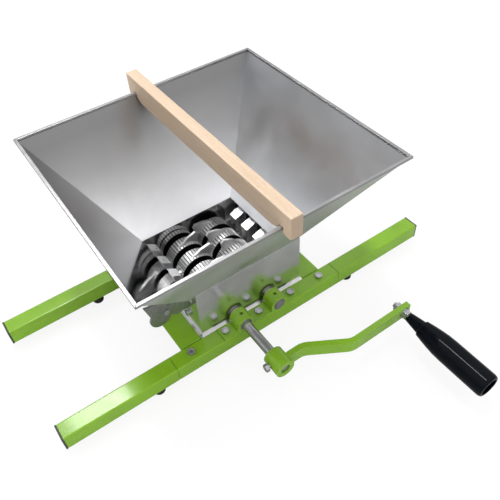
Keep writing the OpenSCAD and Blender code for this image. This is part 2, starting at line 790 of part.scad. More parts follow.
module idler_spacers() {
    end_y = half_d - box_t - move_gap;
    color("darkslategray") {
        for (i = [1:RINGS_IDLER - 1])
            sleeve(axis_x, idler_front(i) + ring_w, idler_front(i + 1));
        sleeve(axis_x, -end_y, idler_front(1));
        sleeve(axis_x, idler_front(RINGS_IDLER) + ring_w, end_y);
        thrust_washers(axis_x);
    }
}

/* Crank */

// Points of a curved bend at b, on the way from a to c
function bend(a, b, c, size) = let (p = b + size * (a - b) / norm(a - b), q = b + size * (c - b) / norm(c - b))
    [for (t = [0:0.25:1]) (1 - t) * (1 - t) * p + 2 * t * (1 - t) * b + t * t * q];

// Sideways direction of a path at one of its points
function side_dir(path, i) = let (
    last = len(path) - 1,
    run = path[min(i + 1, last)] - path[max(i - 1, 0)])
    [-run[1], run[0]] / norm(run);

module crank_arm() {
    bend_run = 1.65 * arm_offset;
    bend_size = 7;
    first = [-axis_x + hub_r / 2, arm_in_y];
    bend_a = [-axis_x + 36, arm_in_y];
    bend_b = [bend_a[0] + bend_run, arm_out_y];
    last = [grip_x + arm_h / 2, arm_out_y];
    path = concat([first], bend(first, bend_a, bend_b, bend_size),
                  bend(bend_a, bend_b, last, bend_size), [last]);
    ends = len(path) - 1;
    color("yellowgreen") difference() {
        union() {
            rod_y(-axis_x, axis_z, hub_front_y, hub_back_y, hub_r);
            translate([0, 0, axis_z - arm_h / 2]) linear_extrude(arm_h) polygon(concat(
                [for (i = [0:ends]) path[i] + arm_t / 2 * side_dir(path, i)],
                [for (i = [ends:-1:0]) path[i] - arm_t / 2 * side_dir(path, i)]));
        }
        rod_y(-axis_x, axis_z, hub_front_y - 1, hub_back_y + 1, shaft_r + run_gap);
        rod_y(grip_x, axis_z, arm_out_y - arm_t, arm_out_y + arm_t, axle_r + run_gap);
        translate([-axis_x, hub_bolt_y, axis_z]) rotate([0, -90, 0])
            cylinder(h = hub_r + 1, r = bolt_r + run_gap);
    }
}

module crank_bolt() {
    stand_off = 2;
    reach = hub_r + stand_off - shaft_r - hole_gap;
    color("silver") translate([-axis_x - hub_r - stand_off, hub_bolt_y, axis_z]) rotate([0, -90, 0]) {
        hex_z(bolt_af, head_h + 1);
        translate([0, 0, -reach]) cylinder(h = reach + 1, r = bolt_r);
    }
}

module grip_axle() {
    color("silver") {
        rod_y(grip_x, axis_z, arm_out_y + arm_t / 2 + axle_nut_h + 4, axle_head_y, axle_r);
        rod_y(grip_x, axis_z, axle_head_y + 0.5, axle_head_y - 5, axle_r + 3);
    }
}

module axle_nuts() {
    color("silver") difference() {
        union() {
            hex_y(grip_x, axis_z, arm_out_y + arm_t / 2, axle_nut_h, axle_nut_af);
            hex_y(grip_x, axis_z, nut_front_y, axle_nut_h, axle_nut_af);
            rod_y(grip_x, axis_z, arm_out_y - arm_t / 2 - washer_t, arm_out_y - arm_t / 2, axle_r + 4.5);
        }
        rod_y(grip_x, axis_z, nut_front_y - 1, arm_out_y + arm_t + axle_nut_h, axle_r + run_gap);
    }
}

// Turned grip: widening neck, step, swelling body and a hollow end
module crank_grip() {
    floor_y = grip_len - grip_hollow;
    color([0.1, 0.1, 0.1]) translate([grip_x, grip_back_y, axis_z]) rotate([90, 0, 0])
        rotate_extrude($fn = 96) polygon([
            [axle_r + run_gap, 0], [grip_neck_r - 0.8, 0], [grip_neck_r, 0.8], [grip_waist_r, 22.5],
            [grip_step_r, 23.8], [grip_step_r + 0.2, 26], [grip_r - 3.2, 34], [grip_r - 1.6, 45],
            [grip_r - 0.4, 56], [grip_r, 68], [grip_r, grip_len - 5], [grip_r - 0.6, grip_len - 2],
            [grip_r - 2, grip_len], [grip_r - 4.5, grip_len], [grip_r - 4.5, floor_y],
            [axle_r + run_gap, floor_y]]);
}

/* Wooden bar */

function bar_side() =
    let (rim_in = out_y(hem_z) - sheet_t, rim_out = mouth_d / 2 + hem_out,
         low = rim_z - bar_slot, slot_top = rim_z + move_gap)
    [[rim_in - 15, low], [rim_in - 6, low + 3], [rim_in - 1, slot_top], [rim_out + 0.7, slot_top],
     [rim_out + 0.7, low + 2], [rim_out + bar_over, low + 2], [rim_out + bar_over, low + bar_h]];

module wooden_bar() {
    right = bar_side();
    count = len(right);
    color("burlywood") translate([bar_x - bar_w / 2, 0, 0]) rotate([90, 0, 90]) linear_extrude(bar_w)
        polygon(concat(right, [for (i = [count - 1:-1:0]) [-right[i][0], right[i][1]]]));
}

in_row_frame() centre_rail(-1);  // front_rail
in_row_frame() centre_rail(1);  // rear_rail
in_row_frame() cross_plate(-1);  // left_cross_plate
in_row_frame() cross_plate(1);  // right_cross_plate
in_row_frame() leg(-1, -1);  // leg_front_left
in_row_frame() leg(1, -1);  // leg_front_right
in_row_frame() leg(-1, 1);  // leg_rear_left
in_row_frame() leg(1, 1);  // leg_rear_right
in_row_frame() end_caps();
in_row_frame() rubber_feet();
in_row_frame() foot_screws();
in_row_frame() leg_bolts();
in_row_frame() block_bolts();
in_row_frame() frame_nuts();
in_row_frame() box_end(-1);  // box_front
in_row_frame() box_end(1);  // box_rear
in_row_frame() box_side(-1);  // box_left
in_row_frame() box_side(1);  // box_right
in_row_frame() hopper_end(-1);  // hopper_front
in_row_frame() hopper_end(1);  // hopper_rear
in_row_frame() hopper_side(-1);  // hopper_left
in_row_frame() hopper_side(1);  // hopper_right
in_row_frame() hopper_rim();
in_row_frame() left_comb();
in_row_frame() right_comb();
in_row_frame() comb_bolts();
in_row_frame() bracket_inner();
in_row_frame() bracket_outer();
in_row_frame() bracket_screws();
in_row_frame() bearing_block(-1, -1);  // block_front_left
in_row_frame() bearing_block(1, -1);  // block_front_right
in_row_frame() bearing_block(-1, 1);  // block_rear_left
in_row_frame() bearing_block(1, 1);  // block_rear_right
in_row_frame() bearing_bushes();
in_row_frame() roller_shaft(-axis_x, hub_front_y + 2);  // drive_shaft
in_row_frame() roller_shaft(axis_x, -pad_front_y - 1);  // idler_shaft
in_row_frame() keys(-axis_x);  // drive_keys
in_row_frame() keys(axis_x);  // idler_keys
in_row_frame() roller_gear(-axis_x, 0);  // drive_gear
in_row_frame() roller_gear(axis_x, 180 + 180 / gear_teeth);  // idler_gear
in_row_frame() drive_spacers();
in_row_frame() idler_spacers();
for (i = [1:RINGS_DRIVE]) in_row_frame() drive_ring(i);
for (i = [1:RINGS_IDLER]) in_row_frame() idler_ring(i);
in_row_frame() crank_arm();
in_row_frame() crank_bolt();
in_row_frame() grip_axle();
in_row_frame() axle_nuts();
in_row_frame() crank_grip();
in_row_frame() wooden_bar();
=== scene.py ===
"""Looks of the hand-cranked fruit crusher: finishes, detailed pieces, camera and light.

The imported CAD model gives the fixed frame. Every sub-assembly is a class that builds its
pieces in metres, in that frame, and dresses them in its finishes.
"""

import logging
import math
from dataclasses import dataclass
from enum import Enum

import bmesh
import bpy
from mathutils import Matrix, Vector


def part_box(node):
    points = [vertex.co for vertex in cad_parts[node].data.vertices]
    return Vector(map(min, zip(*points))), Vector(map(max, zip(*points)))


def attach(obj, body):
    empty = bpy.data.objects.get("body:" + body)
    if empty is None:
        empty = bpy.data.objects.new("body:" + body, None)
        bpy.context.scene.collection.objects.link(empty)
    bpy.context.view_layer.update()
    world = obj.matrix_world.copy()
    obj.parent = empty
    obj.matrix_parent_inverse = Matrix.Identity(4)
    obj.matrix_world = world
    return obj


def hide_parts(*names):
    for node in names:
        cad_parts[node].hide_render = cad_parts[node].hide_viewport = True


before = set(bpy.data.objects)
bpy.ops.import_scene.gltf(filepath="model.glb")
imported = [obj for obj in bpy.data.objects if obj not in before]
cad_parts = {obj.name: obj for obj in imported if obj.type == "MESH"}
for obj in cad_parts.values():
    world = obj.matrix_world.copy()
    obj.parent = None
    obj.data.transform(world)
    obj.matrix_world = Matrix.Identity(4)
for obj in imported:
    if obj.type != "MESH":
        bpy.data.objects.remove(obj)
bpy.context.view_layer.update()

LOG = logging.getLogger("crusher")
MM = 0.001
# The CAD is drawn round the middle of the mill box and then moved this far along +Y.
MILL_Y = 92.0


class Body(Enum):
    """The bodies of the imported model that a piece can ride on."""

    MILL = "mill"
    DRIVE = "drive_roller"
    IDLER = "idler_roller"
    GRIP = "grip"
    BAR = "bar"


def point(x: float, y: float, z: float) -> Vector:
    """Turn millimetres round the mill's middle into the frame's metres.

    Args:
        x: Place along the rails.
        y: Place in depth, counted from the middle of the mill box.
        z: Height above the floor.

    Returns:
        The place in metres, in the shared frame.
    """
    return Vector((x, y + MILL_Y, z)) * MM


class Nodes:
    """A material's node tree with short ways to add what the finishes need."""

    def __init__(self, name: str) -> None:
        """Start an empty material.

        Args:
            name: Name of the material.
        """
        self.material = bpy.data.materials.new(name)
        self.material.use_nodes = True
        self.tree = self.material.node_tree
        self.tree.nodes.clear()
        self.out = self.tree.nodes.new("ShaderNodeOutputMaterial")
        self.shader = self.tree.nodes.new("ShaderNodeBsdfPrincipled")
        self.link(self.shader.outputs["BSDF"], self.out.inputs["Surface"])
        self.coord = self.tree.nodes.new("ShaderNodeTexCoord").outputs["Object"]

    def link(self, source: bpy.types.NodeSocket, target: bpy.types.NodeSocket) -> None:
        """Join an output to an input.

        Args:
            source: The output.
            target: The input.
        """
        self.tree.links.new(source, target)

    def set(self, **values: object) -> None:
        """Set constant inputs of the shader.

        Args:
            values: Value of each input, named with underscores for spaces.
        """
        for name, value in values.items():
            self.shader.inputs[name.replace("_", " ")].default_value = value

    def paint(self, colour: bpy.types.NodeSocket, rough: bpy.types.NodeSocket) -> None:
        """Join a colour and a roughness to the shader.

        Args:
            colour: The colour.
            rough: The roughness.
        """
        self.link(colour, self.shader.inputs["Base Color"])
        self.link(rough, self.shader.inputs["Roughness"])

    def stretched(self, scale: tuple[float, float, float]) -> bpy.types.NodeSocket:
        """Give object coordinates multiplied by scale.

        Args:
            scale: Factor along each axis, in pattern cells per metre.

        Returns:
            The scaled coordinate.
        """
        node = self.tree.nodes.new("ShaderNodeMapping")
        node.inputs["Scale"].default_value = scale
        self.link(self.coord, node.inputs["Vector"])
        return node.outputs["Vector"]

    def place_on(self, axis: str) -> bpy.types.NodeSocket:
        """Give one object coordinate.

        Args:
            axis: X, Y or Z.

        Returns:
            The coordinate in metres.
        """
        node = self.tree.nodes.new("ShaderNodeSeparateXYZ")
        self.link(self.coord, node.inputs[0])
        return node.outputs[axis]

    def noise(self, scale: float | tuple[float, float, float], detail: float = 2.0,
              rough: float = 0.5, distort: float = 0.0) -> bpy.types.NodeSocket:
        """Add a noise pattern in object space.

        Args:
            scale: Cells per metre, one number or one for each axis.
            detail: Layers of finer noise.
            rough: Weight of the finer layers.
            distort: Warp of the pattern.

        Returns:
            The noise value, near 0.5 on average.
        """
        node = self.tree.nodes.new("ShaderNodeTexNoise")
        node.inputs["Detail"].default_value = detail
        node.inputs["Roughness"].default_value = rough
        node.inputs["Distortion"].default_value = distort
        if isinstance(scale, tuple):
            node.inputs["Scale"].default_value = 1.0
            self.link(self.stretched(scale), node.inputs["Vector"])
        else:
            node.inputs["Scale"].default_value = scale
            self.link(self.coord, node.inputs["Vector"])
        return node.outputs["Fac"]

    def span(self, value: bpy.types.NodeSocket, low: float, high: float, start: float = 0.3,
             end: float = 0.7) -> bpy.types.NodeSocket:
        """Map a value from start..end to low..high, clamped.

        Args:
            value: The value to map.
            low: Result at start.
            high: Result at end.
            start: Input that gives low.
            end: Input that gives high.

        Returns:
            The mapped value.
        """
        node = self.tree.nodes.new("ShaderNodeMapRange")
        node.inputs["From Min"].default_value = start
        node.inputs["From Max"].default_value = end
        node.inputs["To Min"].default_value = low
        node.inputs["To Max"].default_value = high
        self.link(value, node.inputs["Value"])
        return node.outputs["Result"]

    def blend(self, amount: bpy.types.NodeSocket, first: tuple[float, float, float] | bpy.types.NodeSocket,
              second: tuple[float, float, float] | bpy.types.NodeSocket) -> bpy.types.NodeSocket:
        """Mix two colours.

        Args:
            amount: Share of the second colour, 0 to 1.
            first: Colour or colour socket at 0.
            second: Colour or colour socket at 1.

        Returns:
            The mixed colour.
        """
        node = self.tree.nodes.new("ShaderNodeMix")
        node.data_type = "RGBA"
        self.link(amount, node.inputs[0])
        for socket, colour in ((node.inputs[6], first), (node.inputs[7], second)):
            if isinstance(colour, tuple):
                socket.default_value = (*colour, 1.0)
            else:
                self.link(colour, socket)
        return node.outputs[2]

    def bump(self, height: bpy.types.NodeSocket, strength: float, depth_mm: float) -> None:
        """Add relief to the shader's normal.

        Args:
            height: The relief.
            strength: Share of the effect.
            depth_mm: Depth that a height of 1 stands for.
        """
        node = self.tree.nodes.new("ShaderNodeBump")
        node.inputs["Strength"].default_value = strength
        node.inputs["Distance"].default_value = depth_mm * MM
        self.link(height, node.inputs["Height"])
        self.link(node.outputs["Normal"], self.shader.inputs["Normal"])


def scaled(colour: tuple[float, float, float], factor: float) -> tuple[float, float, float]:
    """Darken or brighten a colour.

    Args:
        colour: The colour.
        factor: Factor on each channel.

    Returns:
        The new colour, at most white.
    """
    return tuple(min(1.0, factor * channel) for channel in colour)


@dataclass(frozen=True)
class PaintFinish:
    """Gloss paint over steel or a casting, with faint orange peel."""

    name: str
    colour: tuple[float, float, float]
    rough: float = 0.2
    grain: float = 420.0
    relief: float = 0.05
    coat: float = 0.55
    drift_cells: float = 14.0
    gloss_cells: float = 60.0

    def make(self) -> bpy.types.Material:
        """Build the paint: base tone with slow drift, clear coat and fine relief.

        Returns:
            The material.
        """
        n = Nodes(self.name)
        drift = n.span(n.noise(self.drift_cells, 3.0), 0.0, 1.0)
        gloss = n.noise(self.gloss_cells, 4.0)
        n.paint(n.blend(drift, scaled(self.colour, 0.84), scaled(self.colour, 1.08)),
                n.span(gloss, self.rough * 0.8, self.rough * 1.35))
        n.set(Coat_Weight=self.coat, Coat_Roughness=0.1, IOR=1.42)
        n.bump(n.noise(self.grain, 2.0), 0.5, self.relief)
        return n.material


@dataclass(frozen=True)
class SheetFinish:
    """Bright stainless sheet: a soft mirror with cloudy patches and faint rolling lines."""

    name: str
    tone: tuple[float, float, float]
    lines: tuple[float, float, float]
    rough: float = 0.2
    cloud: float = 10.0
    # Where given, a lighter tone painted in towards the throat: painted light on the lower part of the wall.
    polished: tuple[float, float, float] | None = None
    patch: tuple[float, float, float] = (0.3, 0.3, 0.305)
    throat_mm: float = 115.0
    mouth_mm: float = 250.0
    line_share: float = 0.35
    line_depth_mm: float = 0.008

    def make(self) -> bpy.types.Material:
        """Build the sheet: metallic tone, cloudy patches, fine lines and, where given, painted light: a
        lighter tone towards the throat.

        Returns:
            The material.
        """
        n = Nodes(self.name)
        cloud = n.noise(self.cloud, 3.0, 0.55, 0.4)
        tone = self.tone
        # Painted light: the tone brightens from the wall tone at the mouth to the lighter tone at the throat.
        if self.polished:
            height = n.span(n.place_on("Z"), 0.0, 1.0, self.throat_mm * MM, self.mouth_mm * MM)
            tone = n.blend(height, self.polished, self.tone)
        n.paint(n.blend(n.span(cloud, 0.3, 0.0), tone, self.patch),
                n.span(cloud, self.rough * 0.8, self.rough * 1.3))
        n.set(Metallic=1.0)
        n.bump(n.noise(self.lines, 2.0, 0.5), self.line_share, self.line_depth_mm)
        return n.material


@dataclass(frozen=True)
class BarMetalFinish:
    """Plain metal of bolts, shafts and castings, with small scratches or cast grain."""

    name: str
    tone: tuple[float, float, float]
    rough: float = 0.3
    grain: float = 900.0
    relief: float = 0.03
    dark: float = 0.75
    patch_cells: float = 120.0
    scratch_cells: float = 260.0

    def make(self) -> bpy.types.Material:
        """Build the metal: tone with darker patches, uneven roughness and grain relief.

        Returns:
            The material.
        """
        n = Nodes(self.name)
        patch = n.span(n.noise(self.patch_cells, 4.0, 0.6), 0.0, 1.0)
        scratch = n.noise(self.scratch_cells, 3.0)
        n.paint(n.blend(patch, scaled(self.tone, self.dark), self.tone),
                n.span(scratch, self.rough * 0.7, self.rough * 1.4))
        n.set(Metallic=1.0)
        n.bump(n.noise(self.grain, 3.0), 0.6, self.relief)
        return n.material


@dataclass(frozen=True)
class CastRingFinish:
    """Cast aluminium of the crushing rings, bright on ribs and blades, with painted shade that makes the
    grooves dark.
    """

    name: str
    tone: tuple[float, float, float]
    groove_painted_shade: tuple[float, float, float]
    axis_x_mm: float = 28.5
    axis_z_mm: float = 50.0
    low_mm: float = 26.6
    high_mm: float = 27.3
    rough: float = 0.42
    cast_cells: float = 500.0
    cast_depth_mm: float = 0.04

    def make(self) -> bpy.types.Material:
        """Build the metal: painted shade in the grooves and the cast tone outside them, by distance from the
        shaft, and cast grain.

        Returns:
            The material.
        """
        n = Nodes(self.name)
        value = n.coord
        shaft = (self.axis_x_mm * MM, 0, self.axis_z_mm * MM)
        for operation, other in (("ABSOLUTE", None), ("SUBTRACT", shaft), ("MULTIPLY", (1, 0, 1)),
                                 ("LENGTH", None)):
            step = n.tree.nodes.new("ShaderNodeVectorMath")
            step.operation = operation
            n.link(value, step.inputs[0])
            if other:
                step.inputs[1].default_value = other
            value = step.outputs["Value" if operation == "LENGTH" else "Vector"]
        # Painted shade: radii under the rib tops take the dark groove tone.
        outside = n.span(value, 0.0, 1.0, self.low_mm * MM, self.high_mm * MM)
        cast = n.noise(self.cast_cells, 3.0)
        worn = n.blend(n.span(cast, 0.0, 1.0), scaled(self.tone, 0.86), self.tone)
        n.paint(n.blend(outside, self.groove_painted_shade, worn), n.span(cast, self.rough * 0.85, self.rough * 1.2))
        n.set(Metallic=1.0)
        n.bump(cast, 0.5, self.cast_depth_mm)
        return n.material


@dataclass(frozen=True)
class SleeveFinish:
    """Steel sleeves on the shafts: painted shade makes them dark between the rings; bright outside the mill
    box.
    """

    name: str
    painted_shade_inside: tuple[float, float, float]
    outer: tuple[float, float, float]
    front_mm: float = -84.0
    change_mm: float = 0.5
    rough: float = 0.3
    mark_cells: tuple[float, float, float] = (300.0, 1500.0, 300.0)
    mark_depth_mm: float = 0.02

    def make(self) -> bpy.types.Material:
        """Build the steel: a painted shade tone inside the box and the steel tone outside, meeting at the
        box's front sheet, with turning marks.

        Returns:
            The material.
        """
        n = Nodes(self.name)
        front, change = (self.front_mm + MILL_Y) * MM, self.change_mm * MM
        # Painted shade: behind the box's front sheet the sleeves take the dark inside tone.
        outside = n.span(n.place_on("Y"), 1.0, 0.0, front - change, front + change)
        marks = n.noise(self.mark_cells, 2.0)
        worn = n.blend(n.span(marks, 0.0, 1.0), scaled(self.outer, 0.7), self.outer)
        n.paint(n.blend(outside, self.painted_shade_inside, worn), n.span(marks, self.rough * 0.8, self.rough * 1.3))
        n.set(Metallic=1.0)
        n.bump(marks, 0.4, self.mark_depth_mm)
        return n.material


@dataclass(frozen=True)
class PlasticFinish:
    """Moulded plastic or rubber in one tone with a fine surface."""

    name: str
    colour: tuple[float, float, float]
    rough: float = 0.5
    coat: float = 0.0
    grain: float = 1500.0
    relief: float = 0.03
    wear: float = 0.01
    shine: float = 0.5
    wear_cells: float = 45.0
    gloss_cells: float = 90.0

    def make(self) -> bpy.types.Material:
        """Build the plastic: tone with slight wear, roughness drift and fine relief.

        Returns:
            The material.
        """
        n = Nodes(self.name)
        worn = tuple(min(1.0, 1.5 * c + self.wear) for c in self.colour)
        rubbed = n.span(n.noise(self.wear_cells, 4.0), 0.0, 0.6)
        gloss = n.noise(self.gloss_cells, 3.0)
        n.paint(n.blend(rubbed, self.colour, worn), n.span(gloss, self.rough * 0.8, self.rough * 1.25))
        n.set(Coat_Weight=self.coat, Coat_Roughness=0.08, Specular_IOR_Level=self.shine)
        n.bump(n.noise(self.grain, 2.0), 0.4, self.relief)
        return n.material


@dataclass(frozen=True)
class BeechFinish:
    """Planed beech with its grain along Y, short flecks, growth bands and darker end grain."""

    name: str
    pale: tuple[float, float, float]
    deep: tuple[float, float, float]
    rough: float = 0.55
    band_cells: tuple[float, float, float] = (150.0, 5.0, 95.0)
    fibre_cells: tuple[float, float, float] = (1500.0, 22.0, 1500.0)
    fleck_cells: tuple[float, float, float] = (1100.0, 150.0, 1100.0)
    end_share: float = 0.68
    end_from_mm: float = 0.2
    end_to_mm: float = 0.9
    fibre_depth_mm: float = 0.08

    def make(self) -> bpy.types.Material:
        """Build the wood: bands, fibre streaks and flecks, with matching relief.

        Returns:
            The material.
        """
        n = Nodes(self.name)
        band = n.span(n.noise(self.band_cells, 3.0, 0.55, 0.6), 0.0, 1.0)
        fibre = n.noise(self.fibre_cells, 3.0, 0.6)
        fleck = n.span(n.noise(self.fleck_cells, 1.0, 0.4), 0.0, 1.0, 0.6, 0.72)
        lo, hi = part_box("wooden_bar")
        depth = n.place_on("Y")
        near, far = self.end_from_mm * MM, self.end_to_mm * MM
        front_end = n.span(depth, self.end_share, 0.0, lo[1] + near, lo[1] + far)
        rear_end = n.span(depth, 0.0, self.end_share, hi[1] - far, hi[1] - near)
        end_grain = scaled(self.deep, 0.4)
        body = n.blend(front_end, n.blend(band, self.pale, self.deep), end_grain)
        body = n.blend(rear_end, body, end_grain)
        lined = n.blend(n.span(fibre, 0.0, 0.5), body, scaled(self.deep, 0.8))
        flecked = n.blend(n.span(fleck, 0.0, 0.35, 0.0, 1.0), lined, scaled(self.deep, 0.55))
        n.paint(flecked, n.span(fibre, self.rough * 0.85, self.rough * 1.2))
        n.bump(fibre, 0.4, self.fibre_depth_mm)
        return n.material


class Paints:
    """All finishes of the crusher, made once and shared by its pieces."""

    def __init__(self) -> None:
        """Make every material."""
        steel, sheet, plastic = BarMetalFinish, SheetFinish, PlasticFinish
        along_x, along_y, upright = (900.0, 40.0, 40.0), (40.0, 900.0, 40.0), (40.0, 40.0, 900.0)
        box_lines = (40.0, 40.0, 800.0)
        self.green = PaintFinish("green_gloss_paint", (0.18, 0.37, 0.006)).make()
        self.casting = PaintFinish("green_paint_on_casting", (0.185, 0.37, 0.006), rough=0.24, grain=260.0,
                                   relief=0.14).make()
        # The four hopper walls are one stainless sheet: their different tones are painted light and shade,
        # lighter or darker by how light falls on each wall.
        self.hopper_front = sheet("hopper_sheet_front", (0.72, 0.72, 0.73), along_x, rough=0.42).make()
        self.hopper_rear = sheet("hopper_sheet_rear", (0.36, 0.36, 0.365), along_x, rough=0.4,
                                 polished=(0.9, 0.9, 0.91)).make()
        self.hopper_left = sheet("hopper_sheet_left", (0.26, 0.26, 0.265), along_y, rough=0.08,
                                 polished=(0.54, 0.54, 0.545)).make()
        self.hopper_right = sheet("hopper_sheet_right", (0.48, 0.49, 0.51), along_y, rough=0.38,
                                  polished=(0.95, 0.965, 0.99)).make()
        self.rim = sheet("hopper_hem", (0.45, 0.45, 0.455), upright, rough=0.36, cloud=30.0).make()
        self.box = sheet("mill_box_sheet", (0.9, 0.9, 0.9), box_lines, rough=0.2, cloud=22.0).make()
        self.zinc = steel("zinc_plated_steel", (0.56, 0.57, 0.59), rough=0.2, grain=900.0, relief=0.02).make()
        self.shaft = steel("turned_steel", (0.5, 0.5, 0.51), rough=0.16, grain=1400.0, relief=0.01,
                           dark=0.85).make()
        # The rings' second colour is painted shade for their grooves.
        self.ring = CastRingFinish("cast_aluminium", (0.74, 0.74, 0.74), (0.12, 0.12, 0.12)).make()
        self.comb = steel("polished_aluminium", (0.92, 0.92, 0.92), rough=0.34, grain=900.0, relief=0.01,
                          dark=0.96).make()
        self.dark = steel("dark_steel", (0.06, 0.06, 0.062), rough=0.4, grain=800.0, relief=0.05).make()
        # Near-black painted shade for the rings' end faces and the combs' bar faces between the fingers.
        self.painted_shade_faces = steel("painted_shade_dark_faces", (0.022, 0.022, 0.024), rough=0.5, grain=500.0, relief=0.03,
                               dark=0.8).make()
        # The sleeves' first colour is painted shade for their part inside the box.
        self.sleeve = SleeveFinish("sleeve_steel", (0.06, 0.06, 0.062), (0.5, 0.48, 0.46)).make()
        self.bracket = steel("grey_plate_steel", (0.42, 0.42, 0.425), rough=0.34, grain=800.0,
                             relief=0.04).make()
        self.bush = steel("grey_bush_steel", (0.42, 0.42, 0.42), rough=0.3, grain=900.0, relief=0.03).make()
        self.cap = plastic("cap_plastic", (0.035, 0.036, 0.038), rough=0.45).make()
        self.rubber = plastic("foot_rubber", (0.012, 0.012, 0.012), rough=0.6).make()
        self.grip = plastic("grip_plastic", (0.001, 0.002, 0.004), rough=0.1, grain=600.0,
                            relief=0.004, wear=0.001, shine=0.11).make()
        self.beech = BeechFinish("planed_beech", (0.63, 0.49, 0.365), (0.55, 0.41, 0.285)).make()


def new_piece(name: str, bm: bmesh.types.BMesh, material: bpy.types.Material, body: Body,
              replaced: tuple[str, ...] = (),
              smooth_deg: float = 32.0) -> bpy.types.Object:
    """Turn a bmesh into a finished piece that rides on a body.

    Args:
        name: Name of the piece.
        bm: The mesh, in metres in the shared frame; it is freed.
        material: Its finish.
        body: The body that it rides on.
        replaced: CAD nodes that the piece stands for.
        smooth_deg: Edges flatter than this are shaded smooth.

    Returns:
        The new object.
    """
    bmesh.ops.recalc_face_normals(bm, faces=bm.faces)
    limit = math.radians(smooth_deg)
    for face in bm.faces:
        face.smooth = True
    for edge in bm.edges:
        edge.smooth = len(edge.link_faces) == 2 and edge.calc_face_angle(0.0) < limit
    mesh = bpy.data.meshes.new(name)
    bm.to_mesh(mesh)
    bm.free()
    mesh.materials.append(material)
    piece = bpy.data.objects.new(name, mesh)
    bpy.context.scene.collection.objects.link(piece)
    flat = piece.modifiers.new("flat_faces_stay_flat", "WEIGHTED_NORMAL")
    flat.keep_sharp = True
    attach(piece, body.value)
    if replaced:
        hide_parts(*replaced)
    LOG.info("%s: %d faces", name, len(mesh.polygons))
    return piece


def round_edges(bm: bmesh.types.BMesh, width_mm: float, segments: int = 2, angle_deg: float = 35.0) -> None:
    """Bevel all edges sharper than an angle.

    Args:
        bm: The mesh to change.
        width_mm: Width of the bevel.
        segments: Steps of the rounding.
        angle_deg: Edges flatter than this stay.
    """
    limit = math.radians(angle_deg)
    bevel(bm, [e for e in bm.edges if len(e.link_faces) == 2 and e.calc_face_angle(0.0) > limit],
          width_mm, segments)


def node_mesh(node: str) -> bmesh.types.BMesh:
    """Copy a CAD node's mesh as a clean bmesh with its flat faces joined.

    Args:
        node: The CAD node.

    Returns:
        The copy, in metres in the shared frame.
    """
    bm = bmesh.new()
    bm.from_mesh(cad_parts[node].data)
    bmesh.ops.remove_doubles(bm, verts=bm.verts, dist=0.005 * MM)
    bmesh.ops.dissolve_limit(bm, angle_limit=math.radians(0.5), use_dissolve_boundaries=False,
                             verts=bm.verts, edges=bm.edges, delimit=set())
    return bm


def bevel(bm: bmesh.types.BMesh, edges: list[bmesh.types.BMEdge], width_mm: float, segments: int) -> None:
    """Round a list of edges.

    Args:
        bm: The mesh to change.
        edges: The edges.
        width_mm: Width of the rounding.
        segments: Its steps.
    """
    bmesh.ops.bevel(bm, geom=edges, offset=width_mm * MM, offset_type="OFFSET", segments=segments,
                    profile=0.5, affect="EDGES", clamp_overlap=True, material=-1)


def solid_tops(bm: bmesh.types.BMesh) -> list[float]:
    """Find the top height of every separate solid of a mesh.

    Args:
        bm: The mesh.

    Returns:
        The heights in metres.
    """
    left = set(bm.verts)
    tops = []
    while left:
        stack = [left.pop()]
        top = stack[0].co.z
        while stack:
            vert = stack.pop()
            top = max(top, vert.co.z)
            linked = {edge.other_vert(vert) for edge in vert.link_edges} & left
            left -= linked
            stack.extend(linked)
        tops.append(top)
    return tops


def soften(node: str, width_mm: float, material: bpy.types.Material, body: Body,
           segments: int = 2) -> bpy.types.Object:
    """Make a piece that stands for a CAD node, with the same shape and rounded edges.

    Args:
        node: The CAD node.
        width_mm: Width of the rounding.
        material: The finish.
        body: The body that it rides on.
        segments: Steps of the rounding.

    Returns:
        The new piece.
    """
    bm = node_mesh(node)
    round_edges(bm, width_mm, segments)
    return new_piece(node + "_softened", bm, material, body, (node,))


def dress(node: str, material: bpy.types.Material) -> None:
    """Give a CAD node a finish.

    Args:
        node: The CAD node.
        material: The finish.
    """
    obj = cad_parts[node]
    obj.data.materials.clear()
    obj.data.materials.append(material)
    LOG.info("%s: dressed in %s", node, material.name)


def turned(centre: Vector, axis: Vector, profile: list[tuple[float, float]], bm: bmesh.types.BMesh,
           steps: int = 40) -> None:
    """Spin a profile round an axis into a closed solid and add it to a mesh.

    Args:
        centre: Point on the axis that heights are counted from, in metres.
        axis: Direction of the heights.
        profile: Radius and height of each point in mm, from the axis out and back to the axis.
        bm: The mesh that the solid is added to.
        steps: Steps of the full turn.
    """
    side = axis.orthogonal().normalized()
    verts = [bm.verts.new(centre + (side * r + axis * h) * MM) for r, h in profile]
    edges = [bm.edges.new(pair) for pair in zip(verts, verts[1:])]
    bmesh.ops.spin(bm, geom=verts + edges, cent=centre, axis=axis, dvec=(0, 0, 0),
                   angle=math.tau, steps=steps, use_merge=True, use_duplicate=False)
    bmesh.ops.remove_doubles(bm, verts=bm.verts, dist=0.002 * MM)


@dataclass
class HexFasteners:
    """Bolts or nuts of one CAD node, with chamfered hexagons and, where wanted, dished tops."""

    node: str
    body: Body
    dished: bool = False
    land_mm: float = 1.6
    slope_mm: float = 0.5
    dish_mm: float = 0.9
    edge_mm: float = 0.5

    def dish(self, bm: bmesh.types.BMesh) -> None:
        """Sink a dish into each upward hexagon of the heads.

        Args:
            bm: The fasteners' mesh.
        """
        lowest_top = min(solid_tops(bm)) - 0.01 * MM
        for face in list(bm.faces):
            at_top = face.calc_center_median().z > lowest_top and face.normal.z > 0.99
            if at_top and len(face.verts) == 6:
                for inset, depth in ((self.land_mm, 0.0), (self.slope_mm, -self.dish_mm)):
                    bmesh.ops.inset_region(bm, faces=[face], thickness=inset * MM, depth=depth * MM)

    def build(self, material: bpy.types.Material) -> None:
        """Make the node's fasteners.

        Args:
            material: Their finish.
        """
        bm = node_mesh(self.node)
        if self.dished:
            self.dish(bm)
        round_edges(bm, self.edge_mm, 2, 50.0)
        new_piece(self.node + "_fasteners", bm, material, self.body, (self.node,))


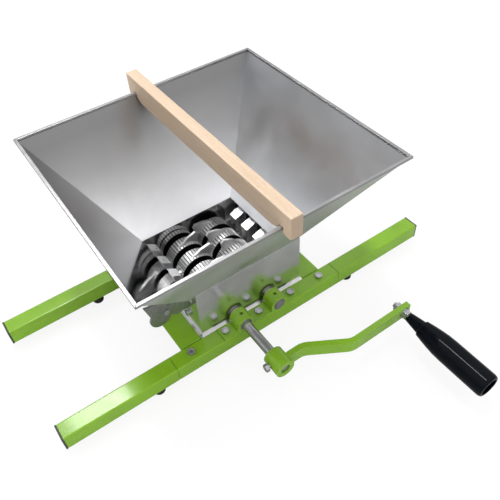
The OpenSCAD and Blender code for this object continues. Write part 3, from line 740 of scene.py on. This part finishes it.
@dataclass
class RailFrame:
    """The frame: two rails, two cross plates, four legs, caps, feet and their fasteners."""

    paints: Paints
    corner_mm: float = 2.4
    corner_steps: int = 4
    shortest_corner_mm: float = 20.0
    bead_mm: float = 1.3
    bead_step_mm: float = 1.6
    bead_inset_mm: float = 0.6
    bead_end_mm: float = 2.0
    plate_edge_mm: float = 0.5
    cap_edge_mm: float = 1.0
    foot_edge_mm: float = 0.8

    def square_tube(self, node: str) -> None:
        """Make a rail or leg with rounded corners along it.

        Args:
            node: The CAD node.
        """
        bm = node_mesh(node)
        lo, hi = (Vector(c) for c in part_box(node))
        near = 0.02 * MM

        def outside(vert: bmesh.types.BMVert) -> bool:
            """Tell whether a vertex lies on the tube's outer corner lines.

            Args:
                vert: The vertex.

            Returns:
                Whether it does.
            """
            return all(min(abs(vert.co[i] - lo[i]), abs(vert.co[i] - hi[i])) < near for i in (1, 2))

        long_edges = [e for e in bm.edges if all(outside(v) for v in e.verts)
                      and abs(e.verts[0].co.x - e.verts[1].co.x) > self.shortest_corner_mm * MM]
        bevel(bm, long_edges, self.corner_mm, self.corner_steps)
        new_piece(node + "_rounded_tube", bm, self.paints.green, Body.MILL, (node,), smooth_deg=40.0)

    def weld(self, name: str, start: Vector, end: Vector) -> None:
        """Lay a weld bead between two points.

        Args:
            name: Name of the piece.
            start: One end, in metres.
            end: The other end.
        """
        bm = bmesh.new()
        length = (end - start).length / MM
        steps = max(8, round(length / self.bead_step_mm))
        ripples = [(self.bead_mm * (1.0 if i % 2 else 0.84), length * i / steps) for i in range(1, steps)]
        turned(start, (end - start).normalized(), [(0.0, 0.0), *ripples, (0.0, length)], bm, 14)
        new_piece(name, bm, self.paints.green, Body.MILL, (), 60.0)

    def build(self) -> None:
        """Make all pieces of the frame."""
        for node in ("front_rail", "rear_rail", "leg_front_left", "leg_front_right", "leg_rear_left",
                     "leg_rear_right"):
            self.square_tube(node)
        for node in ("left_cross_plate", "right_cross_plate"):
            soften(node, self.plate_edge_mm, self.paints.green, Body.MILL)
            lo, hi = (Vector(c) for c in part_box(node))
            inset, end = self.bead_inset_mm * MM, self.bead_end_mm * MM
            for side, y in (("front", lo.y + inset), ("rear", hi.y - inset)):
                start, stop = (Vector((x, y, hi.z)) for x in (lo.x + end, hi.x - end))
                self.weld(f"{node}_weld_{side}", start, stop)
        soften("end_caps", self.cap_edge_mm, self.paints.cap, Body.MILL)
        soften("rubber_feet", self.foot_edge_mm, self.paints.rubber, Body.MILL)
        dress("foot_screws", self.paints.zinc)
        for node in ("leg_bolts", "block_bolts"):
            HexFasteners(node, Body.MILL, dished=True).build(self.paints.zinc)
        HexFasteners("frame_nuts", Body.MILL).build(self.paints.zinc)


@dataclass
class MillBox:
    """The sheet box, the combs and the bracket plates outside it."""

    paints: Paints
    sheet_edge_mm: float = 0.45
    comb_edge_mm: float = 0.3
    comb_bar_mm: float = 6.5
    bracket_edge_mm: float = 0.4

    def comb(self, node: str, side: int) -> None:
        """Make a comb with bright fingers and painted shade on the bar's face between them.

        Args:
            node: The CAD node.
            side: 1 where the fingers point along +X, -1 where they point back.
        """
        piece = soften(node, self.comb_edge_mm, self.paints.comb, Body.MILL)
        piece.data.materials.append(self.paints.painted_shade_faces)
        wall_x = min(side * corner[0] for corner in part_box(node))
        # Painted shade: the bar's face between the fingers takes the near-black finish.
        for face in piece.data.polygons:
            on_bar = side * face.center.x - wall_x < self.comb_bar_mm * MM
            if on_bar and side * face.normal.x > 0.9:
                face.material_index = 1

    def build(self) -> None:
        """Make all pieces of the box."""
        for node in ("box_front", "box_rear", "box_left", "box_right"):
            soften(node, self.sheet_edge_mm, self.paints.box, Body.MILL)
        self.comb("left_comb", 1)
        self.comb("right_comb", -1)
        for node in ("bracket_inner", "bracket_outer"):
            soften(node, self.bracket_edge_mm, self.paints.bracket, Body.MILL)
        HexFasteners("comb_bolts", Body.MILL).build(self.paints.zinc)
        HexFasteners("bracket_screws", Body.MILL).build(self.paints.zinc)


@dataclass
class Hopper:
    """The four sloping sheets and their hemmed rim."""

    paints: Paints
    hem_edge_mm: float = 0.5

    def build(self) -> None:
        """Make all pieces of the hopper."""
        # Painted light and shade: each wall wears its own lit or shaded tone of the same sheet.
        dress("hopper_front", self.paints.hopper_front)
        dress("hopper_rear", self.paints.hopper_rear)
        dress("hopper_left", self.paints.hopper_left)
        dress("hopper_right", self.paints.hopper_right)
        soften("hopper_rim", self.hem_edge_mm, self.paints.rim, Body.MILL)


@dataclass
class Bearings:
    """The four bearing blocks with their bushes."""

    paints: Paints
    block_edge_mm: float = 1.2
    bush_edge_mm: float = 0.5

    def build(self) -> None:
        """Make all pieces of the bearings."""
        for node in ("block_front_left", "block_front_right", "block_rear_left", "block_rear_right"):
            soften(node, self.block_edge_mm, self.paints.casting, Body.MILL, 3)
        soften("bearing_bushes", self.bush_edge_mm, self.paints.bush, Body.MILL)


@dataclass
class Rollers:
    """Both shafts with rings, spacers, keys and gears."""

    paints: Paints
    ring_edge_mm: float = 0.3
    gear_edge_mm: float = 0.3
    shaft_edge_mm: float = 0.5
    spacer_edge_mm: float = 0.4

    def ring(self, node: str, body: Body) -> None:
        """Make a crushing ring: a cast drum and blades, with painted shade on its end faces.

        Args:
            node: The CAD node.
            body: The body that it rides on.
        """
        piece = soften(node, self.ring_edge_mm, self.paints.ring, body)
        piece.data.materials.append(self.paints.painted_shade_faces)
        # Painted shade: the faces at both ends of the ring take the near-black finish.
        ends = [corner[1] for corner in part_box(node)]
        for face in piece.data.polygons:
            if min(abs(face.center.y - end) for end in ends) < 2 * self.ring_edge_mm * MM:
                face.material_index = 1

    def build(self) -> None:
        """Make all pieces of the rollers."""
        for body, kind, rings in ((Body.DRIVE, "drive", 6), (Body.IDLER, "idler", 5)):
            soften(f"{kind}_shaft", self.shaft_edge_mm, self.paints.shaft, body)
            dress(f"{kind}_keys", self.paints.dark)
            soften(f"{kind}_spacers", self.spacer_edge_mm, self.paints.sleeve, body)
            soften(f"{kind}_gear", self.gear_edge_mm, self.paints.dark, body, 1)
            for number in range(1, rings + 1):
                self.ring(f"{kind}_ring_{number}", body)


@dataclass
class Crank:
    """The crank arm with its bolt, axle, nuts and turning grip."""

    paints: Paints
    arm_edge_mm: float = 1.6
    axle_edge_mm: float = 0.5
    grip_edge_mm: float = 0.5

    def build(self) -> None:
        """Make all pieces of the crank."""
        soften("crank_arm", self.arm_edge_mm, self.paints.green, Body.DRIVE, 3)
        HexFasteners("crank_bolt", Body.DRIVE).build(self.paints.zinc)
        soften("grip_axle", self.axle_edge_mm, self.paints.zinc, Body.DRIVE)
        HexFasteners("axle_nuts", Body.DRIVE).build(self.paints.zinc)
        soften("crank_grip", self.grip_edge_mm, self.paints.grip, Body.GRIP)


@dataclass
class WoodenBar:
    """The loose beech bar over the hopper."""

    paints: Paints
    edge_mm: float = 1.2

    def build(self) -> None:
        """Make the bar."""
        soften("wooden_bar", self.edge_mm, self.paints.beech, Body.BAR, 3)


@dataclass(frozen=True)
class Studio:
    """White floor and soft lamps, with the camera at the photograph's angle."""

    azimuth_deg: float = -32.2536
    elevation_deg: float = 46.8247
    roll_deg: float = -3.9930
    distance_mm: float = 834.375
    target_mm: tuple[float, float, float] = (36.534, -29.555, 88.0)
    lens_mm: float = 41.728
    lamps_aim_mm: tuple[float, float, float] = (0.0, 0.0, 120.0)
    leg_top_mm: tuple[float, float, float] = (-215.0, -97.5, 40.0)
    grip_top_mm: tuple[float, float, float] = (149.0, -300.0, 66.0)
    grip_lean: tuple[float, float, float] = (-0.33, 0.0, 0.94)
    sky: float = 0.84
    horizon: float = 0.34
    horizon_top: float = 0.8
    floor_tone: float = 0.9
    floor_in_mirrors: float = 0.42
    floor_glow: float = 0.86
    floor_half_m: float = 6.0

    def camera(self) -> None:
        """Place the camera."""
        az, el, roll = (math.radians(v) for v in (self.azimuth_deg, self.elevation_deg, self.roll_deg))
        back = Vector((math.sin(az) * math.cos(el), -math.cos(az) * math.cos(el), math.sin(el)))
        right = (-back).cross(Vector((0, 0, 1))).normalized()
        up = right.cross(-back)
        rolled = math.cos(roll) * right + math.sin(roll) * up
        upright = -math.sin(roll) * right + math.cos(roll) * up
        data = bpy.data.cameras.new("camera")
        data.lens = self.lens_mm
        data.sensor_width = 36.0
        data.clip_start = 0.01
        camera = bpy.data.objects.new("camera", data)
        place = point(*self.target_mm) + back * self.distance_mm * MM
        turn = Matrix((rolled, upright, back)).transposed().to_4x4()
        camera.matrix_world = Matrix.Translation(place) @ turn
        bpy.context.scene.collection.objects.link(camera)
        bpy.context.scene.camera = camera

    def lamp(self, name: str, place: tuple[float, float, float], size: tuple[float, float], watts: float,
             mirrored: bool = False) -> None:
        """Hang a soft lamp that points at the mill.

        Args:
            name: Its name.
            place: Place in metres.
            size: Width and length in metres.
            watts: Power.
            mirrored: Whether it shows in glossy surfaces.
        """
        data = bpy.data.lights.new(name, "AREA")
        data.energy = watts
        data.shape = "RECTANGLE"
        data.size, data.size_y = size
        lamp = bpy.data.objects.new(name, data)
        lamp.visible_glossy = mirrored
        aim = point(*self.lamps_aim_mm) - Vector(place)
        lamp.matrix_world = Matrix.Translation(place) @ aim.to_track_quat("-Z", "Y").to_matrix().to_4x4()
        bpy.context.scene.collection.objects.link(lamp)

    def mirrored_from(self, spot: Vector, normal: tuple[float, float, float],
                      reach: float) -> tuple[float, float, float]:
        """Give the place that a surface mirrors towards the camera.

        Args:
            spot: Point on the surface.
            normal: Its direction there.
            reach: Distance of the place from the surface in metres.

        Returns:
            The place in metres.
        """
        out = Vector(normal).normalized()
        view = (bpy.context.scene.camera.matrix_world.translation - spot).normalized()
        return tuple(spot + (2 * view.dot(out) * out - view) * reach)

    def world(self) -> None:
        """Light the scene with a plain sky: white in the view, softly graded in mirrors."""
        world = bpy.data.worlds.new("studio")
        world.use_nodes = True
        tree = world.node_tree
        tree.nodes.clear()
        out = tree.nodes.new("ShaderNodeOutputWorld")
        path = tree.nodes.new("ShaderNodeLightPath")
        coord = tree.nodes.new("ShaderNodeTexCoord")
        split = tree.nodes.new("ShaderNodeSeparateXYZ")
        rise = tree.nodes.new("ShaderNodeMapRange")
        rise.inputs["From Min"].default_value = 0.0
        rise.inputs["From Max"].default_value = self.horizon_top
        rise.inputs["To Min"].default_value = self.horizon
        rise.inputs["To Max"].default_value = 1.0
        tree.links.new(coord.outputs["Generated"], split.inputs[0])
        tree.links.new(split.outputs["Z"], rise.inputs["Value"])
        shaders = []
        for strength in (self.sky, rise.outputs["Result"], 1.0):
            light = tree.nodes.new("ShaderNodeBackground")
            light.inputs["Color"].default_value = (1, 1, 1, 1)
            if isinstance(strength, float):
                light.inputs["Strength"].default_value = strength
            else:
                tree.links.new(strength, light.inputs["Strength"])
            shaders.append(light.outputs[0])
        glossy, camera = (tree.nodes.new("ShaderNodeMixShader") for _ in range(2))
        tree.links.new(path.outputs["Is Glossy Ray"], glossy.inputs[0])
        tree.links.new(shaders[0], glossy.inputs[1])
        tree.links.new(shaders[1], glossy.inputs[2])
        tree.links.new(path.outputs["Is Camera Ray"], camera.inputs[0])
        tree.links.new(glossy.outputs[0], camera.inputs[1])
        tree.links.new(shaders[2], camera.inputs[2])
        tree.links.new(camera.outputs[0], out.inputs["Surface"])
        bpy.context.scene.world = world

    def floor(self) -> None:
        """Lay the white floor, which keeps a soft shadow."""
        bm = bmesh.new()
        bmesh.ops.create_grid(bm, x_segments=1, y_segments=1, size=self.floor_half_m)
        mesh = bpy.data.meshes.new("floor")
        bm.to_mesh(mesh)
        bm.free()
        material = bpy.data.materials.new("studio_floor")
        material.use_nodes = True
        tree = material.node_tree
        tree.nodes.clear()
        out = tree.nodes.new("ShaderNodeOutputMaterial")
        path = tree.nodes.new("ShaderNodeLightPath")
        tone = tree.nodes.new("ShaderNodeMapRange")
        tone.inputs["To Min"].default_value = self.floor_tone
        tone.inputs["To Max"].default_value = self.floor_in_mirrors
        tree.links.new(path.outputs["Is Glossy Ray"], tone.inputs["Value"])
        paper = tree.nodes.new("ShaderNodeBsdfDiffuse")
        tree.links.new(tone.outputs["Result"], paper.inputs["Color"])
        glow = tree.nodes.new("ShaderNodeEmission")
        glow.inputs["Strength"].default_value = 1.0
        soft = tree.nodes.new("ShaderNodeMixShader")
        soft.inputs[0].default_value = self.floor_glow
        tree.links.new(paper.outputs[0], soft.inputs[1])
        tree.links.new(glow.outputs[0], soft.inputs[2])
        mix = tree.nodes.new("ShaderNodeMixShader")
        tree.links.new(path.outputs["Is Camera Ray"], mix.inputs[0])
        tree.links.new(paper.outputs[0], mix.inputs[1])
        tree.links.new(soft.outputs[0], mix.inputs[2])
        tree.links.new(mix.outputs[0], out.inputs["Surface"])
        mesh.materials.append(material)
        floor = bpy.data.objects.new("floor", mesh)
        bpy.context.scene.collection.objects.link(floor)

    def build(self) -> None:
        """Set up the whole studio."""
        self.camera()
        self.world()
        self.floor()
        self.lamp("key", (0.3, -2.0, 2.6), (2.4, 2.4), 30.0)
        self.lamp("fill", (-1.8, 0.4, 2.4), (2.0, 2.0), 10.0)
        over_leg = self.mirrored_from(point(*self.leg_top_mm), (0.0, 0.0, 1.0), reach=1.8)
        self.lamp("glare", over_leg, (0.45, 0.45), 8.0, mirrored=True)
        over_grip = self.mirrored_from(point(*self.grip_top_mm), self.grip_lean, reach=2.2)
        self.lamp("streak", over_grip, (0.2, 0.9), 14.0, mirrored=True)
        bpy.context.scene.view_settings.view_transform = "Standard"


def main() -> None:
    """Build the studio and every sub-assembly in order."""
    logging.basicConfig(level=logging.INFO, format="%(name)s: %(message)s")
    Studio().build()
    paints = Paints()
    for part in (RailFrame(paints), MillBox(paints), Hopper(paints), Bearings(paints), Rollers(paints),
                 Crank(paints), WoodenBar(paints)):
        part.build()


if __name__ == "__main__":
    main()
